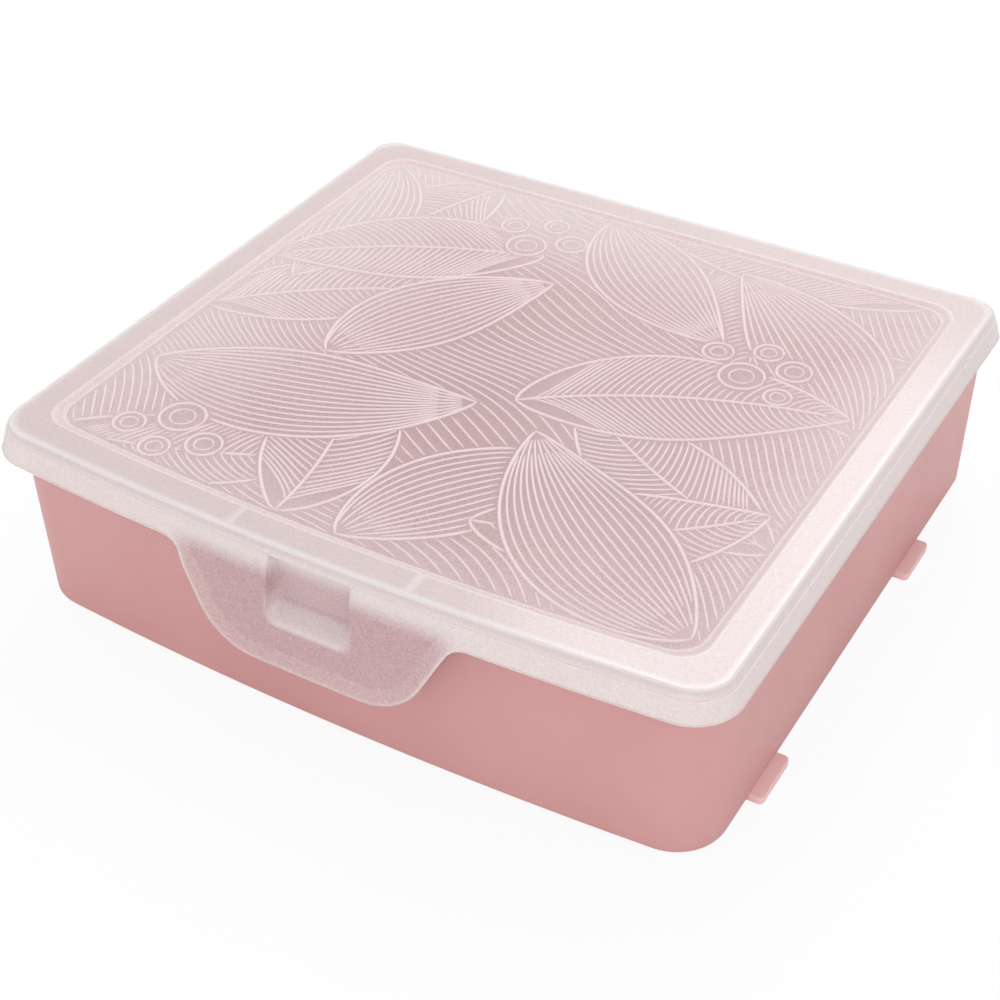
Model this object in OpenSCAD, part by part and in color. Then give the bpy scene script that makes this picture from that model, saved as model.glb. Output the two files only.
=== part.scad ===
// Bobbin box: a shallow base, a hinged lid with a latch tongue, and a lift-out bobbin tray.
// Millimetres, +Z up. The origin is the bottom centre of the closed box's bounding box.
// The front, with the latch tongue, faces -Y. The hinge is at the back, on +Y.

/* [Box] */
// Width of the closed box across the lid's skirt
box_w = 240; // [200:1:280]
// Depth of the lid's skirt at its front corners, without the bow
box_d = 217.4; // [180:0.2:260]
// Height of the closed box
box_h = 65.5; // [56:0.5:90]
// How far the middle of the front bows out past its corners
front_bow = 5.5; // [2:0.5:9]

/* [Lid] */
// Wall of the lid moulding
lid_wall = 1.5; // [1.2:0.1:1.6]
// Height of the lid's skirt up to the ledge under its rim
skirt_h = 6.5; // [4:0.5:8]
// How far the skirt flares out on its way down
skirt_flare = 1.8; // [1:0.1:2]
// Height of the rounded rim above the ledge
rim_h = 2.6; // [2.2:0.1:4]
// Width of the rounded rim, seen from above
rim_round = 1.9; // [1:0.1:3]
// Width of the small ledge between the skirt and the rim
ledge_w = 0.4; // [0.2:0.1:0.5]
// Corner radius of the skirt at the front
lid_front_r = 15; // [12:0.5:20]
// Corner radius of the skirt at the back
lid_back_r = 11; // [9:0.5:16]
// Distance from the skirt's edge to the sunk top panel
panel_inset = 14.2; // [11:0.2:24]
// Depth of the sunk top panel
panel_depth = 1; // [0.4:0.1:1.5]
// Corner radius of the sunk top panel
panel_r = 9; // [5:0.5:14]
// Distance of the two short locating ribs from the middle
rib_x = 29; // [22:1:60]

/* [Latch tongue] */
// Width of the tongue where it leaves the skirt
tongue_w = 91; // [76:1:120]
// Width of the tongue's lower edge, before its corners are rounded
tongue_tip_w = 61; // [56:1:68]
// How far the tongue hangs below the skirt
tongue_drop = 28.4; // [25:0.2:34]
// How far the tongue's lower edge stands out past the skirt
tongue_flare = 4; // [3:0.5:7]
// Radius of the tongue's lower corners
tongue_r = 21; // [10:0.5:24]
// Radius of the fillets where the tongue meets the skirt
tongue_root_r = 7; // [3:0.5:12]
// Width of the finger pocket in the tongue
pocket_w = 27; // [20:0.5:34]
// Height of the pocket's sloping lower end above the tongue's lower edge
pocket_rise = 14.4; // [12:0.2:17]
// Height of the pocket's slope
pocket_slope_h = 5; // [4:0.5:7]
// Radius of the bead under the pocket
bead_r = 1.3; // [0.8:0.1:1.6]

/* [Base] */
// Wall of the base moulding
base_wall = 1.8; // [1.2:0.1:2.2]
// Floor of the base
base_floor = 2; // [1.4:0.1:3]
// Distance from the skirt's lower edge in to the base's side wall at its top
side_gap = 4.2; // [4:0.1:6]
// Distance from the skirt's lower edge in to the base's front and back walls at their top
end_gap = 4.6; // [4.4:0.1:6]
// How far the side walls lean in towards the floor
side_draft = 0.4; // [0:0.1:2]
// How far the front and back walls lean in towards the floor
end_draft = 2.2; // [0.5:0.1:4]
// Corner radius of the base at the front
base_front_r = 16; // [10:0.5:22]
// Corner radius of the base at the back
base_back_r = 8; // [6:0.5:14]
// Radius of the rounding along the bottom edge
foot_round = 2.5; // [1:0.1:4]
// Width of the shallow grip hollow in each side wall
grip_w = 105; // [60:1:140]
// Depth of the grip hollow at the top of the wall
grip_depth = 1.2; // [0.5:0.1:1.4]
// Height of the grip hollow's lower end, where it runs out
grip_foot = 12; // [6:1:24]

/* [Standing feet] */
// Length of each foot along the side wall
foot_l = 19; // [12:1:30]
// Thickness of each foot
foot_t = 2.6; // [1.6:0.2:5]
// Where the front foot's middle lies, from the middle of the skirt's depth
foot_front_y = -63.5; // [-75:0.5:-30]
// Where the back foot's middle lies, from the middle of the skirt's depth
foot_back_y = 47.5; // [30:0.5:70]
// Radius of a foot's outer corners
foot_r = 1.6; // [0.5:0.1:3]

/* [Hinge] */
// Radius of the hinge pins
pin_r = 1.5; // [1.2:0.1:2]
// Radial clearance of the lid's clips on the pins
pin_clear = 0.08; // [0.02:0.01:0.1]
// Wall of the clips
clip_wall = 1.3; // [1:0.1:1.8]
// Width of a clip along its pin
clip_w = 14; // [8:0.5:24]
// Side clearance between a clip and the ears beside it
clip_gap = 0.4; // [0.3:0.1:1]
// Width of the mouth through which a clip snaps over its pin
clip_mouth = 2; // [1.6:0.1:2.2]
// Thickness of the ears that carry the pins
ear_t = 2.4; // [1.6:0.1:4]
// Distance of each hinge from the middle of the box
hinge_x = 70; // [40:1:90]
// Height of the hinge axis below the skirt's lower edge
hinge_drop = 5.4; // [5:0.1:9]

/* [Bobbin tray] */
// Wall of the tray and of its partitions
tray_wall = 1.4; // [1:0.1:1.8]
// Height of the tray
tray_h = 28; // [24:0.5:34]
// Play between the tray and the base's walls
tray_gap = 2.2; // [1.8:0.1:4]
// How far the tray's walls lean in towards its floor
tray_draft = 0.8; // [0.2:0.1:2]
// Width of a bobbin channel: a bobbin's diameter with play
channel_w = 22.4; // [21:0.2:25]
// Number of bobbin channels
channels = 5; // [2:1:6]
// Length of channel for each bobbin: its width with play
bobbin_pitch = 13; // [11:0.5:16]
// How far the ribs between the bobbins stand out
rib_out = 1; // [0.4:0.1:1.5]
// Width of the finger hole in the tray's handle wall
handle_w = 44; // [30:1:60]
// Height of the finger hole
handle_h = 13; // [9:0.5:15]
// Share of the tray's depth that the two front notions bays take
bay_share = 0.62; // [0.4:0.02:0.75]

/* [Hidden] */

pink = [0.80, 0.61, 0.60];
frost = [0.90, 0.83, 0.83, 0.85];

gap = 0.3;                                  // between the lid and what it closes on
latch_play = 0.7;                           // between the pocket's back and the base's latch seat
seat_side = 0.5;                            // beside the pocket's back in the latch seat
hinge_gap = 0.4;                            // between the clips and the base's back wall
tray_rest = 0.2;                            // between the tray and the partitions under it
tray_below = 1.8;                           // from the base's rim down to the tray's
corner_n = 12;                              // steps round each corner of a shell
bow_n = 24;                                 // steps along the bowed front
over = 1;                                   // how far a cut runs past what it cuts
$fn = 64;

skirt_z = box_h - rim_h - skirt_h;          // the skirt's lower edge
ledge_z = box_h - rim_h;
skirt_front = -box_d / 2 - front_bow;       // the skirt's lower edge at the middle of the front
skirt_back = box_d / 2;
rim_inset = skirt_flare + ledge_w;
panel_slope = 0.8;                          // how far the panel's step slopes in
ledge_rise = 0.1;                           // the ledge's slight fall towards the skirt
lid_under = box_h - lid_wall;

base_h = lid_under - gap;
base_bow = 0.9 * front_bow;
base_front = skirt_front + end_gap + front_bow - base_bow;  // the base's front wall at its top
latch_y = skirt_front + end_gap + 0.1;      // the pocket's outer floor, level with the base's wall
latch_in = latch_y + lid_wall;              // the inner face behind it
seat_y = latch_in + latch_play;             // the face of the base's latch seat
seat_w = pocket_w + 2 * (lid_wall + seat_side);

bow_r = (pow(box_w / 2, 2) + pow(front_bow, 2)) / (2 * front_bow);
tilt = atan(tongue_flare / tongue_drop);
tongue_lap = 0.8;                           // how far the tongue runs up into the skirt
pocket_z = skirt_z - tongue_drop + pocket_rise;
seat_foot = pocket_z - 4;                   // the latch seat's lower end, below the pocket
lip_proud = 0.3;                            // how far the pocket's lip stands out of the tongue
pocket_lip_y = tongue_face(pocket_z) - lip_proud;

hinge_r = pin_r + pin_clear + clip_wall;
hinge_z = skirt_z - hinge_drop;
hinge_y = base_back(hinge_z) + hinge_r + hinge_gap;
hinge_back = max(hinge_y + hinge_r, skirt_back);

y_shift = -(hinge_back + skirt_front - tongue_flare) / 2;

partition_h = base_h - tray_below - tray_h - tray_rest;
tray_z = partition_h + tray_rest;
tray_top = tray_z + tray_h;
channel_x0 = -(box_w / 2 - side_gap - side_draft - base_wall - tray_gap - tray_draft - tray_wall);
handle_x = channel_x0 + channels * (channel_w + tray_wall) - tray_wall;
bay_y = -box_d / 2 + bay_share * box_d;

// ---- outlines and shells ----

// A point on the base's back wall at height z.
function base_back(z) = skirt_back - end_gap - end_draft * (1 - z / base_h);

// The tongue's outer face at height z, in the middle of the front.
function tongue_face(z) = skirt_front - tongue_flare * (skirt_z - z) / tongue_drop;

// Points along a quarter turn or less, from angle a0 to a1.
function turn(cx, cy, r, a0, a1, n) =
    [for (i = [0:n]) let (a = a0 + (a1 - a0) * i / n) [cx + r * cos(a), cy + r * sin(a)]];

// A rounded outline: half width hw, straight back at yb, front corners at yf, and a bowed front.
function outline(hw, yb, yf, bow, rb, rf) =
    let (
        big = (hw * hw + bow * bow) / (2 * bow),
        cy = yf - bow + big,
        fx = hw - rf,
        fy = cy - sqrt(pow(big - rf, 2) - fx * fx),
        a = atan2(fy - cy, fx)
    )
    concat(
        turn(hw - rb, yb - rb, rb, 0, 90, corner_n),
        turn(-hw + rb, yb - rb, rb, 90, 180, corner_n),
        turn(-fx, fy, rf, 180, 360 + (-180 - a), corner_n),
        [for (i = [1:bow_n - 1]) let (t = -180 - a + (2 * a + 180) * i / bow_n)
            [big * cos(t), cy + big * sin(t)]],
        turn(fx, fy, rf, a, 0, corner_n)
    );

// The lid's outline at an inset from the skirt's lower edge.
function lid_outline(inset, r_min = 1) = outline(
    box_w / 2 - inset, skirt_back - inset, -box_d / 2 + inset, front_bow,
    max(lid_back_r - inset, r_min), max(lid_front_r - inset, r_min));

// The base's outline at height z, at an inset from its outer face.
function base_outline(z, inset) =
    let (lean = 1 - z / base_h, side = side_gap + side_draft * lean, end = end_gap + end_draft * lean)
    outline(
        box_w / 2 - side - inset, skirt_back - end - inset, -box_d / 2 + end + inset,
        base_bow, max(base_back_r - inset, 2), max(base_front_r - inset, 2));

function at_height(points, z) = [for (p = points) [p[0], p[1], z]];

// A closed solid through a stack of rings with equal numbers of points.
module loft(rings) {
    n = len(rings[0]);
    last = len(rings) - 1;
    polyhedron(
        points = [for (ring = rings) each ring],
        faces = concat(
            [[for (i = [0:n - 1]) i]],
            [for (k = [0:last - 1], i = [0:n - 1])
                let (j = (i + 1) % n, low = k * n, high = low + n)
                each [[low + i, high + i, high + j], [low + i, high + j, low + j]]],
            [[for (i = [n - 1:-1:0]) last * n + i]]
        )
    );
}

// A shape drawn in the YZ plane and run along X, centred on X = 0.
module along_x(length) {
    rotate([90, 0, 90])
        linear_extrude(height = length, center = true)
            children();
}

// ---- base ----

module base_shell() {
    r = foot_round;
    inner_r = max(r - base_wall / 2, 0.8);
    steps = [0, 30, 60, 90];
    edge = 0.5;
    outer = [for (a = steps) let (z = r * (1 - cos(a))) at_height(base_outline(z, r * (1 - sin(a))), z)];
    rim = [
        at_height(base_outline(base_h - edge, 0), base_h - edge),
        at_height(base_outline(base_h, edge), base_h),
        at_height(base_outline(base_h, base_wall - edge), base_h),
        at_height(base_outline(base_h - edge, base_wall), base_h - edge)
    ];
    inner = [for (a = [90, 60, 30, 0])
        let (z = base_floor + inner_r * (1 - cos(a)))
        at_height(base_outline(z, base_wall + inner_r * (1 - sin(a))), z)];
    loft(concat(outer, rim, inner));
}

// The side grip: a wedge that is deepest at the top of the wall. shift moves it in from the outer face.
module grip_wedge(shift, length, extra) {
    top = box_w / 2 - side_gap - shift;
    foot = top - side_draft * (1 - grip_foot / base_h);
    rotate([90, 0, 0])
        linear_extrude(height = length, center = true)
            polygon([[foot + extra, grip_foot], [foot, grip_foot], [top - grip_depth, base_h],
                     [top - grip_depth, base_h + extra], [top + extra, base_h + extra]]);
}

// The latch seat: a shallow channel down the front wall that the pocket's back slides into.
module latch_seat() {
    along_x(seat_w)
        polygon([[seat_y, base_h + over], [seat_y, seat_foot + 4], [seat_y - 3, seat_foot],
                 [skirt_front, seat_foot], [skirt_front, base_h + over]]);
}

module latch_seat_back() {
    lap = 0.4;
    wall_foot = base_front + end_draft * (1 - seat_foot / base_h);
    along_x(seat_w + 2 * base_wall)
        polygon([[seat_y - lap, base_h], [seat_y + base_wall, base_h],
                 [seat_y + base_wall, seat_foot + 3],
                 [wall_foot + base_wall - lap, seat_foot - 2], [wall_foot + lap, seat_foot - 2],
                 [wall_foot + lap, seat_foot + 6]]);
}

// Two fixed partitions on the floor, which split the store below the tray and carry the tray.
module partitions() {
    intersection() {
        union() {
            translate([-box_w / 2, -base_wall / 2, base_floor - 0.5])
                cube([box_w, base_wall, partition_h - base_floor + 0.5]);
            translate([-base_wall / 2, skirt_front, base_floor - 0.5])
                cube([base_wall, skirt_back - skirt_front, partition_h - base_floor + 0.5]);
        }
        loft([at_height(base_outline(0, base_wall * 0.6), base_floor - 0.5),
              at_height(base_outline(partition_h, base_wall * 0.6), partition_h)]);
    }
}

// A foot on the right side, level with the lid's skirt, so that the box can stand on its side.
module side_foot(y) {
    short = 0.4;
    root = box_w / 2 - side_gap - side_draft - 2 / 3 * base_wall;
    reach = box_w / 2 - short;
    translate([0, y - foot_l / 2, 0])
        union() {
            translate([root, 0, 0])
                cube([reach - root - foot_r, foot_l, foot_t]);
            translate([root, foot_r, 0])
                cube([reach - root, foot_l - 2 * foot_r, foot_t]);
            for (end = [foot_r, foot_l - foot_r])
                translate([reach - foot_r, end, 0])
                    cylinder(r = foot_r, h = foot_t);
        }
}

// One hinge on the base: two ears with a pin between them.
module hinge_ears(x) {
    span = clip_w + 2 * clip_gap;
    root = hinge_y - base_back(hinge_z) + base_wall / 2;
    heel = hinge_r + 3;
    translate([x, hinge_y, hinge_z]) {
        for (side = [-1, 1])
            translate([side * (span + ear_t) / 2, 0, 0]) {
                along_x(ear_t)
                    polygon([[-root, hinge_r], [0, hinge_r], [hinge_r, 0], [hinge_r, -heel],
                             [-root, -heel - hinge_r - root]]);
                rotate([0, 90, 0])
                    cylinder(r = hinge_r, h = ear_t, center = true);
            }
        rotate([0, 90, 0])
            cylinder(r = pin_r, h = span + ear_t, center = true);
    }
}

module base() {
    color(pink)
        translate([0, y_shift, 0])
            union() {
                difference() {
                    union() {
                        base_shell();
                        latch_seat_back();
                        for (side = [0, 1])
                            mirror([side, 0, 0])
                                intersection() {
                                    grip_wedge(base_wall, grip_w + 2 * base_wall, 0);
                                    translate([0, -box_d / 2, 0])
                                        cube([box_w / 2, box_d, base_h]);
                                }
                    }
                    latch_seat();
                    for (side = [0, 1])
                        mirror([side, 0, 0])
                            grip_wedge(0, grip_w, over);
                }
                partitions();
                side_foot(foot_front_y);
                side_foot(foot_back_y);
                hinge_ears(-hinge_x);
                hinge_ears(hinge_x);
            }
}

// ---- lid ----

// One closed skin: out along the underside, down inside the skirt, up its outside and over the top.
module lid_shell() {
    inner = [
        at_height(lid_outline(panel_inset + 1.5 * panel_slope, panel_r - 0.6), lid_under - panel_depth),
        at_height(lid_outline(panel_inset + 0.5 * panel_slope, panel_r), lid_under),
        at_height(lid_outline(rim_inset + lid_wall + 0.6), lid_under),
        at_height(lid_outline(rim_inset + lid_wall), lid_under - 0.7),
        at_height(lid_outline(lid_wall), skirt_z)
    ];
    skirt = [at_height(lid_outline(0), skirt_z), at_height(lid_outline(skirt_flare), ledge_z)];
    rim = [for (a = [0, 22.5, 45, 67.5, 90])
        at_height(lid_outline(rim_inset + rim_round * (1 - cos(a))),
                  ledge_z + ledge_rise + (rim_h - ledge_rise) * sin(a))];
    panel = [
        at_height(lid_outline(panel_inset, panel_r), box_h),
        at_height(lid_outline(panel_inset + panel_slope, panel_r - 0.6), box_h - panel_depth)
    ];
    loft(concat(inner, skirt, rim, panel));
}

// The tongue's outline in X and Z, with Z = 0 at the skirt's lower edge.
module tongue_outline() {
    lean = (tongue_w - tongue_tip_w) / 2 / tongue_drop;
    up = 2 * tongue_r;
    half_up = tongue_w / 2 + lean * up;
    intersection() {
        offset(r = -tongue_root_r)
            offset(r = tongue_root_r)
                union() {
                    translate([-tongue_w, 0])
                        square([2 * tongue_w, up]);
                    offset(r = tongue_r)
                        offset(delta = -tongue_r)
                            polygon([[-half_up, up], [-tongue_tip_w / 2, -tongue_drop],
                                     [tongue_tip_w / 2, -tongue_drop], [half_up, up]]);
                }
        translate([-tongue_w, -2 * tongue_drop])
            square([2 * tongue_w, 2 * tongue_drop + tongue_lap]);
    }
}

// The tongue follows the bow of the skirt and leans out towards its lower edge.
module tongue() {
    reach = tongue_drop + 2 * over;
    intersection() {
        translate([0, skirt_front, skirt_z])
            rotate([-tilt, 0, 0])
                translate([0, bow_r, -reach - over])
                    difference() {
                        cylinder(r = bow_r, h = reach + 2 * over, $fn = 256);
                        translate([0, 0, -over])
                            cylinder(r = bow_r - lid_wall, h = reach + 4 * over, $fn = 256);
                    }
        translate([0, skirt_front + 20, skirt_z])
            rotate([90, 0, 0])
                linear_extrude(height = 40)
                    tongue_outline();
    }
}

// The finger pocket: a flat floor down from the rim, then a slope out to a bead for the fingertip.
module pocket_hollow() {
    along_x(pocket_w)
        polygon([[latch_y, ledge_z - 0.2], [latch_y, pocket_z + pocket_slope_h], [pocket_lip_y, pocket_z],
                 [pocket_lip_y - 3, pocket_z], [pocket_lip_y - 3, ledge_z - 0.2]]);
}

module pocket_back() {
    skin = lid_wall / 2;
    slope = atan2(pocket_slope_h, latch_y - pocket_lip_y);
    drop = lid_wall / cos(slope);
    slope_top = pocket_z + pocket_slope_h - drop + lid_wall * tan(slope);
    along_x(pocket_w + 2 * lid_wall)
        polygon([[latch_in, lid_under + 0.2], [latch_in, slope_top],
                 [tongue_face(pocket_z - drop) + skin, pocket_z - drop + skin * tan(slope)],
                 [tongue_face(skirt_z) + skin, skirt_z],
                 [skirt_front + skirt_flare + skin, ledge_z - 0.4], [latch_in - 2, lid_under + 0.2]]);
}

module pocket_bead() {
    half = pocket_w / 2 - bead_r;
    translate([0, pocket_lip_y + 0.5, pocket_z - 0.5]) {
        rotate([0, 90, 0])
            cylinder(r = bead_r, h = 2 * half, center = true, $fn = 32);
        for (side = [-1, 1])
            translate([side * half, 0, 0])
                sphere(r = bead_r, $fn = 32);
    }
}

// Two short ribs under the band, which sit just inside the base's front wall.
module locating_ribs() {
    rib_t = 1.2;
    rib_drop = 1.5;
    rib_front = base_front + base_wall + 0.8;
    rib_back = -box_d / 2 + panel_inset + 1;
    for (side = [-1, 1])
        translate([side * rib_x - rib_t / 2, rib_front, lid_under - rib_drop])
            cube([rib_t, rib_back - rib_front, rib_drop + lid_wall / 3]);
}

// One hinge clip: an arm down from the skirt with a ring that is open below, to snap over its pin.
module hinge_clip(x) {
    translate([x, hinge_y, hinge_z])
        difference() {
            union() {
                rotate([0, 90, 0])
                    cylinder(r = hinge_r, h = clip_w, center = true);
                translate([-clip_w / 2, skirt_back - lid_wall - hinge_y, 0])
                    cube([clip_w, lid_wall, hinge_drop + 0.6]);
            }
            rotate([0, 90, 0])
                cylinder(r = pin_r + pin_clear, h = clip_w + 2 * over, center = true);
            translate([-clip_w / 2 - over, -clip_mouth / 2, -hinge_r - over])
                cube([clip_w + 2 * over, clip_mouth, hinge_r + over]);
        }
}

module lid() {
    color(frost)
        translate([0, y_shift, 0])
            union() {
                difference() {
                    union() {
                        lid_shell();
                        tongue();
                        pocket_back();
                    }
                    pocket_hollow();
                }
                pocket_bead();
                locating_ribs();
                hinge_clip(-hinge_x);
                hinge_clip(hinge_x);
            }
}

// ---- bobbin tray ----

// The tray's outline at height z, at an inset from its outer face.
function tray_outline(z, inset) =
    base_outline(z, base_wall + tray_gap + tray_draft * (1 - (z - tray_z) / tray_h) + inset);

module tray_shell() {
    r = 2;
    edge = 0.4;
    inner_r = 1.5;
    floor_z = tray_z + tray_wall;
    outer = [for (a = [0, 45, 90])
        let (z = tray_z + r * (1 - cos(a)))
        at_height(tray_outline(z, r * (1 - sin(a))), z)];
    rim = [
        at_height(tray_outline(tray_top - edge, 0), tray_top - edge),
        at_height(tray_outline(tray_top, edge), tray_top),
        at_height(tray_outline(tray_top, tray_wall - edge), tray_top),
        at_height(tray_outline(tray_top - edge, tray_wall), tray_top - edge)
    ];
    inner = [for (a = [90, 45, 0])
        let (z = floor_z + inner_r * (1 - cos(a)))
        at_height(tray_outline(z, tray_wall + inner_r * (1 - sin(a))), z)];
    loft(concat(outer, rim, inner));
}

// Keeps what it is given within the middle of the tray's walls, from the floor up to a height.
module inside_tray(top) {
    low = tray_z + tray_wall - 0.4;
    intersection() {
        translate([0, 0, low])
            linear_extrude(height = top - low)
                children();
        loft([at_height(tray_outline(low, tray_wall / 2), low),
              at_height(tray_outline(top, tray_wall / 2), top)]);
    }
}

// The walls between the bobbin channels, with ribs on both faces that keep the bobbins apart.
module channel_walls() {
    rib_t = 1.2;
    room = box_d - 2 * (end_gap + end_draft + tray_gap + base_wall + tray_wall);
    count = floor(room / bobbin_pitch) - 1;
    for (i = [0:channels])
        let (x = channel_x0 + i * (channel_w + tray_wall) - tray_wall) {
            if (i > 0 && i < channels)
                translate([x, -box_d])
                    square([tray_wall, 2 * box_d]);
            for (k = [0:count])
                translate([x - (i > 0 ? rib_out : 0), (k - count / 2) * bobbin_pitch - rib_t / 2])
                    square([tray_wall + rib_out + (i > 0 && i < channels ? rib_out : 0), rib_t]);
        }
}

module notions_walls() {
    translate([handle_x, bay_y])
        square([box_w, tray_wall]);
    translate([(handle_x + tray_wall - channel_x0) / 2, -box_d])
        square([tray_wall, box_d + bay_y]);
}

module handle_wall() {
    inside_tray(tray_top - 0.4)
        translate([handle_x, -box_d])
            square([tray_wall, 2 * box_d]);
}

// The finger hole through the handle wall and the ribs on it.
module finger_hole() {
    bar = 3;
    reach = 2 * (tray_wall + rib_out);
    translate([handle_x + tray_wall / 2, 0, tray_top - bar - handle_h / 2])
        rotate([0, 90, 0]) {
            for (side = [-1, 1])
                translate([0, side * (handle_w - handle_h) / 2, 0])
                    cylinder(r = handle_h / 2, h = reach, center = true);
            cube([handle_h, handle_w - handle_h, reach], center = true);
        }
}

module bobbin_tray() {
    color(pink)
        translate([0, y_shift, 0])
            union() {
                tray_shell();
                inside_tray(tray_top - 3)
                    notions_walls();
                difference() {
                    union() {
                        inside_tray(tray_top - 6)
                            channel_walls();
                        handle_wall();
                    }
                    finger_hole();
                }
            }
}

base();
lid();
bobbin_tray();
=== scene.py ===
"""Looks of the bobbin box: smooth mouldings with frosted and satin plastic, built round the CAD frame.

Sizes are in millimetres in the CAD's own frame, before its shift along Y, and become metres when a
mesh is made. The front, with the latch tongue, faces -Y.
"""

import math

import bpy
import numpy as np
from mathutils import Matrix, Vector

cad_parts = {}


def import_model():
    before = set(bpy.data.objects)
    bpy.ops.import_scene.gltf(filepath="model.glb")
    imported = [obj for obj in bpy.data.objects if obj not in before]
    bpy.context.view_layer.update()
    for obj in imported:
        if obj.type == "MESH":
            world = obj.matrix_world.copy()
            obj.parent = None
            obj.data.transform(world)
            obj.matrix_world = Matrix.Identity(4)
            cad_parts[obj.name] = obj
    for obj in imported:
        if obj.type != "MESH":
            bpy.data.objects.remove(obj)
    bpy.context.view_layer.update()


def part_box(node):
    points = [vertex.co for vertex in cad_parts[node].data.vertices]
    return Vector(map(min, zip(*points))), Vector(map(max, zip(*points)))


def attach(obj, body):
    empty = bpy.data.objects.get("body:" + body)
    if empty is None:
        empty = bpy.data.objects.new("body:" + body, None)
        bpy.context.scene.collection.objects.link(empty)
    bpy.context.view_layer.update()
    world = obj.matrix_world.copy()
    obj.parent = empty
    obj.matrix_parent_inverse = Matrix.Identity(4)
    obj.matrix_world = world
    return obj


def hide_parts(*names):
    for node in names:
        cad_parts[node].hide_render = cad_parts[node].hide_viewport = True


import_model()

MM = 0.001

# ---- sizes, as the CAD has them ----

BOX_W, BOX_D, BOX_H = 240.0, 217.4, 65.5
FRONT_BOW, BASE_BOW_SHARE = 5.5, 0.9

LID_WALL = 1.5
SKIRT_H, SKIRT_FLARE = 6.5, 1.8
RIM_H, RIM_ROUND, LEDGE_W = 2.6, 1.9, 0.4
LID_FRONT_R, LID_BACK_R = 15.0, 11.0
PANEL_INSET, PANEL_DEPTH, PANEL_R = 14.2, 1.0, 9.0
RIB_X, RIB_T, RIB_DROP = 29.0, 1.2, 1.5
RIB_FRONT_GAP, RIB_BACK_GAP, RIB_ROOT = 0.8, 0.6, 0.3

TONGUE_W, TONGUE_TIP_W, TONGUE_DROP, TONGUE_FLARE = 91.0, 61.0, 28.4, 4.0
TONGUE_R, TONGUE_ROOT_R = 21.0, 7.0
POCKET_W, POCKET_RISE, POCKET_SLOPE_H = 27.0, 14.4, 5.0

BASE_WALL, BASE_FLOOR = 1.8, 2.0
SIDE_GAP, END_GAP = 4.2, 4.6
SIDE_DRAFT, END_DRAFT = 0.4, 2.2
BASE_FRONT_R, BASE_BACK_R = 16.0, 8.0
FOOT_ROUND = 2.5
GRIP_W, GRIP_DEPTH, GRIP_FOOT = 105.0, 1.2, 12.0

FOOT_L, FOOT_T, FOOT_R, FOOT_SHORT = 19.0, 2.6, 1.6, 0.4
FOOT_Y = (-63.5, 47.5)

PIN_R, PIN_CLEAR, CLIP_WALL, CLIP_W, CLIP_GAP, CLIP_MOUTH = 1.5, 0.08, 1.3, 14.0, 0.4, 2.0
EAR_T, EAR_HEEL, PIN_ROOT = 2.4, 3.0, 0.5
HINGE_X, HINGE_DROP, HINGE_GAP = 70.0, 5.4, 0.4

GAP = 0.3
LATCH_SINK, LATCH_PLAY = 0.1, 0.7
SEAT_SIDE_PLAY, SEAT_DROP = 0.5, 4.0

# ---- places worked out from them ----

SKIRT_Z = BOX_H - RIM_H - SKIRT_H
LEDGE_Z = BOX_H - RIM_H
LID_UNDER = BOX_H - LID_WALL
PANEL_Z = BOX_H - PANEL_DEPTH
RIM_INSET = SKIRT_FLARE + LEDGE_W
SKIRT_FRONT = -BOX_D / 2 - FRONT_BOW
SKIRT_BACK = BOX_D / 2
BASE_H = LID_UNDER - GAP
BASE_BOW = BASE_BOW_SHARE * FRONT_BOW

TONGUE_Z = SKIRT_Z - TONGUE_DROP
POCKET_Z = TONGUE_Z + POCKET_RISE
LATCH_Y = SKIRT_FRONT + END_GAP + LATCH_SINK
SEAT_Y = LATCH_Y + LID_WALL + LATCH_PLAY
SEAT_HALF = POCKET_W / 2 + LID_WALL + SEAT_SIDE_PLAY
SEAT_FOOT = POCKET_Z - SEAT_DROP

HINGE_R = PIN_R + PIN_CLEAR + CLIP_WALL
HINGE_Z = SKIRT_Z - HINGE_DROP
HINGE_Y = SKIRT_BACK - END_GAP - END_DRAFT * (1 - HINGE_Z / BASE_H) + HINGE_R + HINGE_GAP

TRAY_H, TRAY_BELOW, TRAY_REST = 28.0, 1.8, 0.2
PARTITION_H = BASE_H - TRAY_BELOW - TRAY_H - TRAY_REST

Y_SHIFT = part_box("lid")[0].y / MM - (SKIRT_FRONT - TONGUE_FLARE)

# ---- how finely shapes are divided ----

CORNER_STEPS, SIDE_STEPS, BACK_STEPS = 18, 60, 40
# X of the points along the bowed front, closest together at the finger pocket
FRONT_X = np.unique(np.round(np.concatenate([
    np.arange(-88, -56, 4.0), np.arange(-56, -17, 1.3), np.arange(-17, 17.1, 0.5),
    np.arange(18, 57, 1.3), np.arange(60, 89, 4.0)]), 3))
SHARP_ANGLE = 35.0    # edges that turn by more degrees than this stay sharp
LEAST_R = 2.0         # the least corner radius of an outline inside the base


# ---- outlines and lofts ----

def arc(cx, cy, r, start, end, steps=CORNER_STEPS):
    """Points along an arc, its ends among them. Angles are in degrees."""
    a = np.radians(np.linspace(start, end, steps + 1))
    return np.column_stack([cx + r * np.cos(a), cy + r * np.sin(a)])


def between(p, q, steps):
    """Points on a straight line, without its ends."""
    t = np.linspace(0, 1, steps + 1)[1:-1, None]
    return np.asarray(p) * (1 - t) + np.asarray(q) * t


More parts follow.
